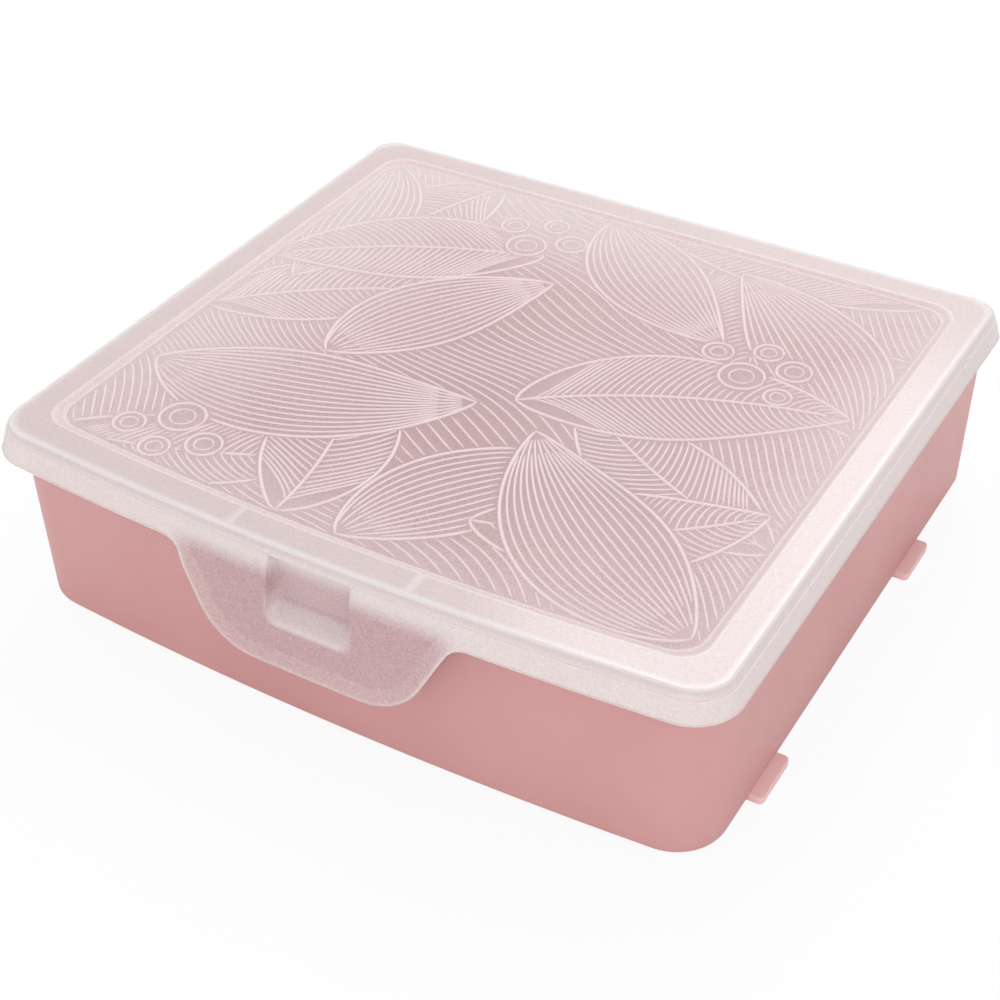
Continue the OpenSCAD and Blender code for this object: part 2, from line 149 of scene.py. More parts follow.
def outline(half_w, back, front, bow, back_r, front_r):
    """A rounded outline with a bowed front. Every outline has the same number of points.

    The front is an arc of radius bow_r round (0, cy), and its corners lie round (fx, fy) and (-fx, fy).
    """
    bow_r = (half_w ** 2 + bow ** 2) / (2 * bow)
    cy = front - bow + bow_r
    fx = half_w - front_r
    fy = cy - math.sqrt((bow_r - front_r) ** 2 - fx ** 2)
    lean = math.degrees(math.atan2(fy - cy, fx))
    bx, by = half_w - back_r, back - back_r
    bowed = np.column_stack([FRONT_X, cy - np.sqrt(bow_r ** 2 - FRONT_X ** 2)])
    return np.vstack([
        arc(bx, by, back_r, 0, 90),
        between((bx, back), (-bx, back), BACK_STEPS),
        arc(-bx, by, back_r, 90, 180),
        between((-half_w, by), (-half_w, fy), SIDE_STEPS),
        arc(-fx, fy, front_r, 180, 180 - lean),
        bowed,
        arc(fx, fy, front_r, lean, 0),
        between((half_w, fy), (half_w, by), SIDE_STEPS),
    ])


def lid_outline(inset, least_r=1.0):
    """The lid's outline at the skirt's foot, moved in by inset."""
    return outline(BOX_W / 2 - inset, SKIRT_BACK - inset, -BOX_D / 2 + inset, FRONT_BOW,
                   max(LID_BACK_R - inset, least_r), max(LID_FRONT_R - inset, least_r))


def base_outline(z, inset):
    """The base's outline at a height, moved in by inset. Its walls lean in towards the floor."""
    lean = 1 - z / BASE_H
    side, end = SIDE_GAP + SIDE_DRAFT * lean, END_GAP + END_DRAFT * lean
    return outline(BOX_W / 2 - side - inset, SKIRT_BACK - end - inset, -BOX_D / 2 + end + inset,
                   BASE_BOW, max(BASE_BACK_R - inset, LEAST_R), max(BASE_FRONT_R - inset, LEAST_R))


def at_height(points, z):
    """Points of a plan, in three dimensions."""
    return np.column_stack([points, np.broadcast_to(z, len(points))])


def at_front(points):
    """True for points in the front quarter of the box."""
    return points[:, 1] < -BOX_D / 4


def inside_loop(points, edge):
    """True for points inside a convex outline that runs counter-clockwise."""
    inside = np.ones(len(points), bool)
    for p, q in zip(edge[::3], edge[3::3]):
        d = q - p
        inside &= d[0] * (points[:, 1] - p[1]) - d[1] * (points[:, 0] - p[0]) > 0
    return inside


def quarter_turn(r, angles):
    """A rounding of radius r at each angle in degrees, as r times 1 - sine and r times 1 - cosine."""
    turns = [math.radians(angle) for angle in angles]
    return [(r * (1 - math.sin(a)), r * (1 - math.cos(a))) for a in turns]


def smoothstep(x):
    """Runs smoothly from 0 to 1 as x does."""
    x = np.clip(x, 0, 1)
    return x * x * (3 - 2 * x)


def shade(mesh, sharp=SHARP_ANGLE):
    """Smooth shading, except along edges sharper than an angle in degrees."""
    mesh.polygons.foreach_set("use_smooth", np.ones(len(mesh.polygons), bool))
    mesh.set_sharp_from_angle(angle=math.radians(sharp))


def link(name, data):
    """A new object in the scene that shows a mesh, lamp or camera."""
    obj = bpy.data.objects.new(name, data)
    bpy.context.scene.collection.objects.link(obj)
    return obj


def make_mesh(name, verts, faces, sharp=SHARP_ANGLE):
    """An object made of points in millimetres and faces."""
    mesh = bpy.data.meshes.new(name)
    verts = np.asarray(verts, float) + (0, Y_SHIFT, 0)
    mesh.from_pydata((verts * MM).tolist(), [], faces)
    shade(mesh, sharp)
    mesh.update()
    return link(name, mesh)


def loft(name, rings):
    """A closed solid through a stack of counter-clockwise rings with equal numbers of points."""
    count = len(rings[0])
    faces = [list(range(count - 1, -1, -1))]
    for k in range(len(rings) - 1):
        for i in range(count):
            j = (i + 1) % count
            faces.append([k * count + i, k * count + j, (k + 1) * count + j, (k + 1) * count + i])
    faces.append([(len(rings) - 1) * count + i for i in range(count)])
    return make_mesh(name, np.vstack(rings), faces)


def set_pale(obj, values):
    """Gives each vertex its "pale" weight, which the frosted materials read."""
    layer = obj.data.attributes.new("pale", "FLOAT", "POINT")
    layer.data.foreach_set("value", np.asarray(values, np.float32))


def join(name, objects):
    """Joins objects into the first one, under a new name."""
    with bpy.context.temp_override(active_object=objects[0], object=objects[0],
                                   selected_objects=objects, selected_editable_objects=objects):
        bpy.ops.object.join()
    objects[0].name = name
    objects[0].data.name = name
    return objects[0]


def apply_modifiers(obj):
    """Gives an object the mesh that its modifiers make, and drops them."""
    graph = bpy.context.evaluated_depsgraph_get()
    mesh = bpy.data.meshes.new_from_object(obj.evaluated_get(graph))
    obj.modifiers.clear()
    obj.data = mesh


def rounded(obj, width):
    """Rounds an object's edges."""
    bevel = obj.modifiers.new("round", "BEVEL")
    bevel.width = width * MM
    bevel.segments = 3
    bevel.limit_method = "ANGLE"
    bevel.angle_limit = math.radians(40)
    apply_modifiers(obj)
    shade(obj.data)
    return obj


def prism_x(name, yz, x0, x1, round_by=0.0):
    """A shape drawn in the YZ plane and run along X."""
    count = len(yz)
    verts = [(x, y, z) for x in (x0, x1) for y, z in yz]
    faces = [[i, (i + 1) % count, count + (i + 1) % count, count + i] for i in range(count)]
    faces += [list(range(count - 1, -1, -1)), list(range(count, 2 * count))]
    obj = make_mesh(name, verts, faces)
    return rounded(obj, round_by) if round_by else obj


def block(name, low, high, round_by=0.0):
    """A box between two corners."""
    (x0, y0, z0), (x1, y1, z1) = low, high
    return prism_x(name, [(y0, z0), (y1, z0), (y1, z1), (y0, z1)], x0, x1, round_by)


def rod_x(name, y, z, r, x0, x1, round_by=0.2):
    """A round rod along X."""
    a = np.radians(np.arange(0, 360, 7.5))
    return prism_x(name, list(zip(y + r * np.cos(a), z + r * np.sin(a))), x0, x1, round_by)


# ---- materials ----

MOTTLE, CLOUDS, SPECKLE, FINE_GRAIN = 22, 70, 1500, 1600    # sizes of noise, in features per metre
SPECKLE_SPAN = (0.36, 0.64)    # how much of the speckle's noise lies between its two colours
SPECKLE_SHARE = 0.2            # how far the speckle at the pale end, on thicker plastic and painted light, runs from its light to its deep colour


def srgb(r, g, b):
    """A linear colour from 0-255 sRGB values."""
    c = np.array([r, g, b]) / 255
    linear = np.where(c <= 0.04045, c / 12.92, ((c + 0.055) / 1.055) ** 2.4)
    return (*linear.tolist(), 1.0)


FACTOR, COLOUR_A, COLOUR_B, MIXED = 0, 6, 7, 2    # a colour Mix node's sockets, whose names repeat


class Nodes:
    """A material's node tree, with short ways to add and link nodes."""

    def __init__(self, name):
        self.material = bpy.data.materials.new(name)
        self.material.use_nodes = True
        self.tree = self.material.node_tree
        self.tree.nodes.clear()
        self.out = self.add("ShaderNodeOutputMaterial")

    def add(self, kind, **inputs):
        """A new node. An input's name is written with _ for each space."""
        node = self.tree.nodes.new(kind)
        for key, value in inputs.items():
            self.set(node, key.replace("_", " "), value)
        return node

    def set(self, node, key, value):
        """Links another node's output to an input, or gives the input a value."""
        socket = node.inputs[key]
        if isinstance(value, bpy.types.NodeSocket):
            self.tree.links.new(value, socket)
        else:
            socket.default_value = value

    def noise(self, scale, detail, roughness=0.5):
        """Noise in object space. scale is in features per metre."""
        coords = self.add("ShaderNodeTexCoord")
        node = self.add("ShaderNodeTexNoise", Scale=scale, Detail=detail, Roughness=roughness)
        self.set(node, "Vector", coords.outputs["Object"])
        return node.outputs["Fac"]

    def ramp(self, value, low, high, colour_low, colour_high):
        """A colour that runs between two colours as a value runs from low to high."""
        share = self.add("ShaderNodeMapRange", Value=value)
        self.set(share, "From Min", low)
        self.set(share, "From Max", high)
        mix = self.tree.nodes.new("ShaderNodeMix")
        mix.data_type = "RGBA"
        self.set(mix, FACTOR, share.outputs["Result"])
        self.set(mix, COLOUR_A, colour_low)
        self.set(mix, COLOUR_B, colour_high)
        return mix.outputs[MIXED]

    def bump(self, height, distance, strength):
        """A normal that follows a height, whose full range is a distance in metres."""
        node = self.add("ShaderNodeBump", Height=height, Distance=distance, Strength=strength)
        return node.outputs["Normal"]


def satin_pink(name, low, high):
    """Opaque dusty pink polypropylene with a satin skin, faint mottling and a very fine grain."""
    n = Nodes(name)
    colour = n.ramp(n.noise(MOTTLE, 3), 0.35, 0.65, low, high)
    bsdf = n.add("ShaderNodeBsdfPrincipled", Base_Color=colour, Roughness=0.42)
    n.set(bsdf, "Normal", n.bump(n.noise(FINE_GRAIN, 2), 0.00002, 0.6))
    n.set(bsdf, "Specular IOR Level", 0.35)
    n.set(n.out, "Surface", bsdf.outputs[0])
    return n.material


def frosted(name, colour, deep, light, clear, roughness, grain, coat=0.0):
    """Frosted polypropylene: a grained skin that shows, blurred, what lies close behind it.

    The mesh's "pale" weight lightens it above 0, where the plastic is thicker and where highlights and
    light are painted, and deepens it below 0, as on the tongue and where shade is painted.
    clear is how much light passes through, and grain the depth of the skin's grain in metres.
    """
    n = Nodes(name)
    speckle = n.noise(SPECKLE, 3, 0.6)
    grained = n.ramp(speckle, *SPECKLE_SPAN, deep, colour)
    clouded = n.ramp(n.noise(CLOUDS, 2), 0.2, 2.2, grained, colour)
    pale = n.add("ShaderNodeAttribute")
    pale.attribute_name = "pale"
    darker = n.ramp(pale.outputs["Fac"], -1.0, 0.0, deep, clouded)
    faint = tuple((1 - SPECKLE_SHARE) * a + SPECKLE_SHARE * b for a, b in zip(light, deep))
    # the pale end: thicker plastic, and painted highlights and painted light
    thick_and_painted_light = n.ramp(speckle, *SPECKLE_SPAN, faint, light)
    tone = n.ramp(pale.outputs["Fac"], 0.0, 1.0, darker, thick_and_painted_light)
    skin = n.add("ShaderNodeBsdfPrincipled", Base_Color=tone, Roughness=roughness, IOR=1.3)
    n.set(skin, "Transmission Weight", clear)
    n.set(skin, "Coat Weight", coat)
    n.set(skin, "Coat Roughness", 0.18)
    n.set(skin, "Normal", n.bump(speckle, grain, 0.8))
    n.set(n.out, "Surface", skin.outputs[0])
    return n.material


def dress(obj, *materials):
    """Gives an object its material slots."""
    obj.data.materials.clear()
    for material in materials:
        obj.data.materials.append(material)
    return obj


PINK = satin_pink("satin_pink", srgb(203, 149, 148), srgb(208, 155, 154))
# a lighter copy of the base's pink for the feet: painted light that lifts the shade falling on them under
# the lid
PINK_FOOT_PAINTED_LIGHT = satin_pink("satin_pink_foot_painted_light", srgb(240, 198, 197), srgb(244, 203, 202))
SKIRT, BAND, PANEL, FOLD = range(4)    # the lid's regions, which are its material slots
FROSTED = [
    frosted("frosted_skirt", srgb(230, 199, 200), srgb(204, 167, 169), srgb(255, 247, 246),
            clear=0.29, roughness=0.55, grain=0.00008),
    frosted("frosted_band", srgb(243, 227, 226), srgb(231, 210, 210), srgb(255, 250, 249),
            clear=0.28, roughness=0.5, grain=0.00003, coat=0.9),
    frosted("frosted_panel", srgb(239, 210, 210), srgb(213, 180, 181), srgb(255, 246, 245),
            clear=0.35, roughness=0.7, grain=0.00008, coat=0.3),
    frosted("frosted_fold", srgb(248, 230, 230), srgb(228, 202, 203), srgb(255, 246, 245),
            clear=0.15, roughness=0.5, grain=0.00003),
]
EMBOSSED = frosted("embossed_line", srgb(254, 237, 237), srgb(248, 228, 228), srgb(255, 246, 245),
                   clear=0.12, roughness=0.5, grain=0.00002)


# ---- the lid ----

BEYOND_ROOT = 20.0                      # how far the tongue's outline runs on along the skirt
EDGE_BAND, EDGE_LIFT = 5.0, 1.2         # width of the tongue's border, and how far it turns out
LIFT_WITHIN = 0.25                      # the share of the drop over which the border starts to turn out
EDGE_LINE = 0.8                         # width of the painted highlight along the lower edge
FAR = 99.0                              # stands for any distance well away from that edge

POCKET_SOFT, POCKET_CORNER = 1.6, 3.0   # width of the rounding round the pocket, and its corner radius
POCKET_TIGHT = 0.6                      # how far inside the pocket's width the rounding's middle lies
POCKET_TOP = LEDGE_Z - 0.3              # where the pocket ends, just under the ledge
POCKET_OVER = 6.0                       # its outline runs on this far above, so its top has no corners
POCKET_BACK = 0.9                       # how much its back is wider all round, in shares of the wall
LIP_SOFT, LIP_H = 1.3, 0.55             # the bead along its lower end and a little way up its sides
LIP_OUT, LIP_RISE, LIP_FADE = 0.4, 9.5, 3.0

CLIP_ARM_RISE, CLIP_ARM_ROOT = 0.4, 0.6    # the clip arm's foot above the pin, its top into the skirt
SKIRT_ROWS, ROW_SPREAD = 64, 0.95       # rows of the skirt, a little closer together at its foot
SKIRT_EDGE_R = 0.5                      # rounding of the skirt's lower edge
LEDGE_STEP = 0.1                        # the rim's foot stands this far above the ledge
FOLD_W = 2.8                            # width of the step down to the sunk panel
FOLD_INSET = PANEL_INSET - FOLD_W / 2

# paleness of the tongue's border and pocket, the painted highlight along its lower edge, painted light on
# the pocket's slope and the painted highlight on its bead
BORDER_PALE, EDGE_HIGHLIGHT, POCKET_PALE, SLOPE_PAINTED_LIGHT, LIP_HIGHLIGHT = 0.22, 0.9, 0.2, 0.5, 0.5
# the tongue's deeper tone, the painted highlight along the skirt's lower edge, and the clip's and ribs'
# paleness
TONGUE_DEEPER, SKIRT_EDGE_HIGHLIGHT, CLIP_PALE, RIB_PALE = 0.1, 0.2, 0.4, 0.5
TONE_BESIDE, TONE_FADE_X = 4.0, 10.0    # how far beside the tongue its deeper tone ends, after this fade
TONE_BELOW, TONE_FADE_Z = 2.0, 7.0      # how far below the skirt that tone is full, and its fade upwards
SLOPE_ONSET = 3.0                       # the painted light on the slope comes in over the first third of its height
PANEL_SHADE_MIDDLE = (42, -18)                  # middle of the panel's painted shade, as X and Y; painted light rises from here towards its edges
PANEL_LIGHT_RINGS = ((1.0, 0.6), (0.92, 0.5), (0.72, 0.15), (0.4, -0.45), (0.2, -0.5))   # size, and paleness as painted light and shade
PAINTED_LIGHT_BACK, PAINTED_LIGHT_LEFT = 0.25, 0.2      # painted light that 100 mm to the back and to the left add to that


def tongue_edge():
    """The tongue's lower edge as X and Z, from the middle to beyond its root, for positive X.

    (nx, nz) is the outward normal of its straight side, which lies between its two arcs.
    """
    run = (TONGUE_W - TONGUE_TIP_W) / 2
    length = math.hypot(run, TONGUE_DROP)
    nx, nz = TONGUE_DROP / length, -run / length
    tip = TONGUE_TIP_W / 2
    cx = tip - (TONGUE_R + TONGUE_R * nz) / nx
    rx = tip + (TONGUE_ROOT_R - (TONGUE_DROP - TONGUE_ROOT_R) * nz) / nx
    side = math.degrees(math.atan2(nz, nx))
    low = arc(cx, TONGUE_Z + TONGUE_R, TONGUE_R, -90, side, 24)
    root = arc(rx, SKIRT_Z - TONGUE_ROOT_R, TONGUE_ROOT_R, 180 + side, 90, 12)
    return np.vstack([[(0, TONGUE_Z)], low, root, [(rx + BEYOND_ROOT, SKIRT_Z)]])


TONGUE_EDGE = tongue_edge()


def edge_distance(x, z):
    """Distance of points on the tongue from its lower edge."""
    pts = np.column_stack([np.abs(x), z])
    best = np.full(len(pts), 1e9)
    for p, q in zip(TONGUE_EDGE[:-1], TONGUE_EDGE[1:]):
        d = q - p
        t = np.clip(((pts - p) @ d) / (d @ d), 0, 1)[:, None]
        best = np.minimum(best, np.linalg.norm(pts - p - t * d, axis=1))
    return best


def skirt_row(share, depth):
    """One row of the skirt and tongue, from the ledge at share 0 to the lower edge at share 1.

    depth is how far the row lies in from the outer face.
    """
    ledge = lid_outline(SKIRT_FLARE + depth)
    foot = lid_outline(depth)
    x = foot[:, 0]
    front = at_front(foot) & (np.abs(x) < TONGUE_EDGE[-1, 0])
    edge_z = np.where(front, np.interp(np.abs(x), TONGUE_EDGE[:, 0], TONGUE_EDGE[:, 1]), SKIRT_Z)
    z = LEDGE_Z + (edge_z - LEDGE_Z) * share
    up = np.clip((z - SKIRT_Z) / (LEDGE_Z - SKIRT_Z), 0, 1)[:, None]
    xy = foot * (1 - up) + ledge * up
    down = np.clip((SKIRT_Z - z) / TONGUE_DROP, 0, 1)
    border = np.clip(1 - edge_distance(x, z) / EDGE_BAND, 0, 1)
    lift = EDGE_LIFT * border * smoothstep(down / LIFT_WITHIN)
    y = xy[:, 1] - np.where(front, (TONGUE_FLARE - EDGE_LIFT) * down + lift, 0)
    y = np.where(front, pocket(x, y, z, depth), y)
    return np.column_stack([xy[:, 0], y, z])


def pocket_zones(x, z, grow=0.0):
    """How far points lie in the finger pocket, on its slope and on its bead, each from 0 to 1.

    outside is the distance from the pocket's outline, a rounded rectangle, and is negative within it.
    """
    over = POCKET_TOP + POCKET_OVER
    half_w = POCKET_W / 2 - POCKET_TIGHT + grow
    mid_z, half_h = (over + POCKET_Z - grow) / 2, (over - POCKET_Z + grow) / 2
    corner = POCKET_CORNER + grow
    dx, dz = np.abs(x) - half_w + corner, np.abs(z - mid_z) - half_h + corner
    past_corner = np.hypot(np.maximum(dx, 0), np.maximum(dz, 0))
    outside = past_corner + np.minimum(np.maximum(dx, dz), 0) - corner
    inside = smoothstep(0.5 - outside / POCKET_SOFT) * (z < POCKET_TOP)
    slope = np.clip((POCKET_Z + POCKET_SLOPE_H - z) / POCKET_SLOPE_H, 0, 1)
    lip = np.exp(-((outside - LIP_OUT) / LIP_SOFT) ** 2)
    return inside, slope, lip * smoothstep((POCKET_Z + LIP_RISE - z) / LIP_FADE)


def pocket(x, y, z, depth):
    """Pushes the tongue's face back where the finger pocket is. depth is how far in the face lies."""
    inside, slope, lip = pocket_zones(x, z, depth * POCKET_BACK)
    lip_y = SKIRT_FRONT - TONGUE_FLARE * (SKIRT_Z - POCKET_Z) / TONGUE_DROP
    floor_y = LATCH_Y + depth + (lip_y - LATCH_Y) * slope
    return y + inside * np.maximum(floor_y - y, 0) - LIP_H * lip * (depth == 0)


def skirt_paleness_and_painted_light(row):
    """The skirt is pale. Down the tongue it turns deeper, with a paler border and pocket, painted light
    on the pocket's slope and bead, and a painted highlight along the lower edge.
    """
    x, z = row[:, 0], row[:, 2]
    front = at_front(row)
    at_tongue = smoothstep((TONGUE_W / 2 + TONE_BESIDE - np.abs(x)) / TONE_FADE_X) * front
    skirt = 1 - at_tongue * (1 - smoothstep((z - SKIRT_Z + TONE_BELOW) / TONE_FADE_Z))
    near = np.where(front, edge_distance(x, z), FAR)
    # the painted highlight along the lower edge
    edge = np.exp(-(near / EDGE_LINE) ** 2)
    border = BORDER_PALE * (near < EDGE_BAND) + EDGE_HIGHLIGHT * edge
    inside, slope, lip = pocket_zones(x, z)
    inside = inside * front
    # painted light on the pocket's upward-facing slope, and a painted highlight on its bead
    painted_slope_light = SLOPE_PAINTED_LIGHT * smoothstep(slope * SLOPE_ONSET)
    pocket_paleness_and_painted_light = inside * (POCKET_PALE + painted_slope_light) + LIP_HIGHLIGHT * lip * front
    tongue = np.maximum(border, pocket_paleness_and_painted_light) - TONGUE_DEEPER * (1 - inside)
    return skirt + (1 - skirt) * tongue + SKIRT_EDGE_HIGHLIGHT * edge * skirt


def rib_paleness(ring):
    """Thicker plastic over the two locating ribs looks paler from above."""
    over_rib = np.exp(-((np.abs(ring[:, 0]) - RIB_X) / (RIB_T * 0.8)) ** 4)
    return 0.8 * over_rib * at_front(ring)


def underside_rings():
    """Rings, each with its paleness, under the lid: out from the sunk panel, up and out to the skirt."""
    for inset, least_r, z in ((PANEL_INSET + 2.0, PANEL_R - 1.2, PANEL_Z - LID_WALL),
                              (PANEL_INSET + 1.2, PANEL_R - 0.6, PANEL_Z - LID_WALL),
                              (PANEL_INSET + 0.4, PANEL_R, LID_UNDER),
                              (RIM_INSET + LID_WALL + 0.6, 1.0, LID_UNDER)):
        yield at_height(lid_outline(inset, least_r), z), 0.0


def skirt_rings():
    """Rings down inside the skirt, round its lower edge and up its outside."""
    shares = np.linspace(0, 1, SKIRT_ROWS) ** ROW_SPREAD
    for share in shares[:-1]:
        yield skirt_row(share, LID_WALL), 0.0
    edge_in, edge_out = skirt_row(1.0, LID_WALL), skirt_row(1.0, 0.0)
    # painted highlight round the skirt's lower edge
    for turn in range(0, 181, 30):
        a = math.radians(turn)
        t = (1 - math.cos(a)) / 2
        ring = edge_in * (1 - t) + edge_out * t
        ring[:, 2] += SKIRT_EDGE_R * (1 - math.sin(a))
        yield ring, (1.0 if 30 < turn < 180 else 0.4)
    for share in shares[::-1][1:]:
        row = skirt_row(share, 0.0)
        yield row, skirt_paleness_and_painted_light(row)


def top_rings():
    """Rings up the rounded rim, in over the band, down the fold and over the sunk panel."""
    # painted highlight along the rim's rounding, pale too at its foot
    for turn in np.linspace(0, 90, 9):
        a = math.radians(turn)
        inset = RIM_INSET + RIM_ROUND * (1 - math.cos(a))
        z = LEDGE_Z + LEDGE_STEP + (RIM_H - LEDGE_STEP) * math.sin(a)
        yield at_height(lid_outline(inset), z), 0.8 - 0.6 * math.sin(2 * a) + 0.8 * (turn > 60)
    rim_top = RIM_INSET + RIM_ROUND
    # the rim's painted highlight runs a little way onto the band; the paleness over the ribs is the
    # plastic's own
    for inset in (rim_top + 0.5, rim_top + 1.8, rim_top + 5, FOLD_INSET - 0.4):
        ring = at_height(lid_outline(inset, PANEL_R), BOX_H)
        yield ring, np.maximum(rib_paleness(ring), 0.7 * (inset < rim_top + 1))
    # painted shade down the middle of the step to the panel, with painted light along its top and foot
    for t in np.linspace(0, 1, 11):
        ring = lid_outline(FOLD_INSET + FOLD_W * t, PANEL_R)
        yield at_height(ring, BOX_H - PANEL_DEPTH * smoothstep(t)), 0.7 - math.sin(math.pi * t)
    edge = lid_outline(PANEL_INSET + FOLD_W / 2 + 0.3, PANEL_R)
    # painted shade in the panel's middle, turning to painted light towards its edges, the back and the
    # left
    for scale, paleness in PANEL_LIGHT_RINGS:
        ring = PANEL_SHADE_MIDDLE + (edge - PANEL_SHADE_MIDDLE) * scale
        painted_drift = (PAINTED_LIGHT_BACK * ring[:, 1] - PAINTED_LIGHT_LEFT * ring[:, 0]) / 100
        yield at_height(ring, PANEL_Z), paleness + painted_drift


def region_slots(obj):
    """Gives each face its region's slot. The ledge and the step down to the panel both count as folds."""
    mesh = obj.data
    centres = np.empty(len(mesh.polygons) * 3)
    mesh.polygons.foreach_get("center", centres)
    x, y, z = centres.reshape(-1, 3).T / MM
    sunk = inside_loop(np.column_stack([x, y - Y_SHIFT]), lid_outline(FOLD_INSET, PANEL_R))
    slots = np.where(z > LEDGE_Z + 0.08, np.where(sunk, PANEL, BAND), SKIRT)
    at_ledge = (z > LEDGE_Z - 0.1) & (z < LEDGE_Z + 0.3)
    slots = np.where(sunk & (z > PANEL_Z + 0.01) | at_ledge, FOLD, slots)
    mesh.polygons.foreach_set("material_index", slots.astype(np.int32))


def lid_shell():
    """The lid's skin: in under the panel, down inside the skirt, up its outside and over the top."""
    rings, pale = zip(*underside_rings(), *skirt_rings(), *top_rings())
    obj = loft("lid_shell", rings)
    set_pale(obj, np.concatenate([np.broadcast_to(p, len(ring)) for ring, p in zip(rings, pale)]))
    dress(obj, *FROSTED)
    region_slots(obj)
    return obj


def pale_piece(obj, material, paleness):
    """Gives a small piece of the lid its material and one paleness all over."""
    set_pale(obj, np.full(len(obj.data.vertices), paleness))
    return dress(obj, material)


def hinge_clip(x):
    """One clip: an arm down from the skirt's back with a ring, open below, that snaps over its pin."""
    x0, x1, bore = x - CLIP_W / 2, x + CLIP_W / 2, PIN_R + PIN_CLEAR
    mouth = math.degrees(math.asin(CLIP_MOUTH / 2 / HINGE_R))
    mouth_in = math.degrees(math.asin(CLIP_MOUTH / 2 / bore))
    outer = arc(HINGE_Y, HINGE_Z, HINGE_R, -90 + mouth, 270 - mouth, 40)
    inner = arc(HINGE_Y, HINGE_Z, bore, 270 - mouth_in, -90 + mouth_in, 40)
    ring = prism_x("clip_ring", np.vstack([outer, inner]).tolist(), x0, x1)
    arm = block("clip_arm", (x0, SKIRT_BACK - LID_WALL, HINGE_Z + PIN_R + CLIP_ARM_RISE),
                (x1, SKIRT_BACK, SKIRT_Z + CLIP_ARM_ROOT))
    return [pale_piece(piece, FROSTED[SKIRT], CLIP_PALE) for piece in (ring, arm)]


def locating_rib(side):
    """One of the two short ribs under the front band that centre the lid on the base."""
    front = SKIRT_FRONT + END_GAP + FRONT_BOW - BASE_BOW + BASE_WALL + RIB_FRONT_GAP
    back = -BOX_D / 2 + PANEL_INSET + RIB_BACK_GAP
    x = side * RIB_X
    rib = block("rib", (x - RIB_T / 2, front, LID_UNDER - RIB_DROP),
                (x + RIB_T / 2, back, LID_UNDER + RIB_ROOT), 0.2)
    return pale_piece(rib, FROSTED[FOLD], RIB_PALE)


# ---- the embossed panel ----

LINE_W, LINE_H = 0.9, 0.42         # width and height of a line of weight 1
HATCH = 2.7                        # spacing of veins and hatching
LINE_GAP = 0.9                     # clear ground round each motif
CUT_STEP, RIDGE_STEP = 0.6, 1.3    # steps along a line where motifs cut it off, and along its ridge
GROUND_TILT = math.radians(-32)
PANEL_EDGE = lid_outline(PANEL_INSET + 2.0, PANEL_R)    # all lines end within this

# weights of lines: on leaves, on berries and on the ground between them
MARGIN, MIDRIB, VEIN, RING, INNER_RING, STROKE, GROUND = 1.3, 1.2, 0.9, 1.2, 0.8, 0.7, 0.85

# a ridge's cross-section, in shares of its width and height
PROFILE = ((-0.5, -0.25), (-0.36, 0.45), (-0.14, 0.94), (0.14, 0.94), (0.36, 0.45), (0.5, -0.25))


class Leaf:
    """A long leaf on a curved spine, which starts at a point with a heading in degrees.

    A feathered leaf has a midrib and side veins, and any other has lines that run along it.
    """

    def __init__(self, x, y, heading, length, half_w, bend, feathered=True):
        self.feathered = feathered
        self.u = np.linspace(0, 1, 90)
        angle = np.radians(heading + bend * (self.u - 0.3))
        step = length / (len(self.u) - 1)
        self.spine = np.column_stack([x + np.cumsum(np.cos(angle)) * step,
                                      y + np.cumsum(np.sin(angle)) * step])
        self.normal = np.column_stack([-np.sin(angle), np.cos(angle)])
        self.width = half_w * np.sin(math.pi * self.u ** 0.85) ** 0.85
        self.length = length

    def point(self, u, side):
        """A point at share u of the length, and at a share of the half width, left or right."""
        at = [np.interp(u, self.u, self.spine[:, k]) for k in (0, 1)]
        off = [np.interp(u, self.u, self.normal[:, k] * self.width) for k in (0, 1)]
        return np.column_stack([at[0] + side * off[0], at[1] + side * off[1]])

    def covers(self, points, margin):
        """True for points on the leaf, or within a margin round it."""
        gap = points[:, None, :] - self.spine[None]
        dist = np.linalg.norm(gap, axis=2)
        near = dist.argmin(axis=1)
        return dist[np.arange(len(points)), near] < self.width[near] + margin

    def lines(self):
        """Its lines, each with a weight. Veins lean towards the tip and stop just short of the margin."""
        drawn = [(self.point(self.u, 1.0), MARGIN), (self.point(self.u, -1.0), MARGIN)]
        if self.feathered:
            drawn.append((self.point(self.u[:-6], 0.0), MIDRIB))
            count = int(self.length / HATCH)
            t = np.linspace(0, 1, 22)
            for k in range(2, count - 1):
                start = k / count
                along = start + (0.05 + 0.16 * (1 - start)) * t ** 1.25
                drawn += [(self.point(along, side * t * 0.97)[along < 0.985], VEIN) for side in (1, -1)]
        else:
            count = int(self.width.max() * 2 / HATCH)
            for k in range(1, count):
                short = 0.04 + 0.07 * (k % 2)
                along = np.linspace(short, 1 - short, 60)
                drawn.append((self.point(along, 2 * k / count - 1), VEIN))
        return drawn


class Berry:
    """A round berry: a ring, a smaller ring in it and short strokes between the two."""

    def __init__(self, x, y, r):
        self.centre, self.r = np.array([x, y]), r

    def covers(self, points, margin):
        """True for points on the berry, or within a margin round it."""
        return np.linalg.norm(points - self.centre, axis=1) < self.r + margin

    def lines(self):
        """Its lines, each with a weight."""
        drawn = [(arc(*self.centre, self.r, 0, 360, 40), RING),
                 (arc(*self.centre, self.r * 0.55, 0, 360, 28), INNER_RING)]
        t = np.linspace(0.62, 0.92, 5)[:, None] * self.r
        for turn in range(0, 360, 40):
            a = math.radians(turn)
            drawn.append((self.centre + t * (math.cos(a), math.sin(a)), STROKE))
        return drawn


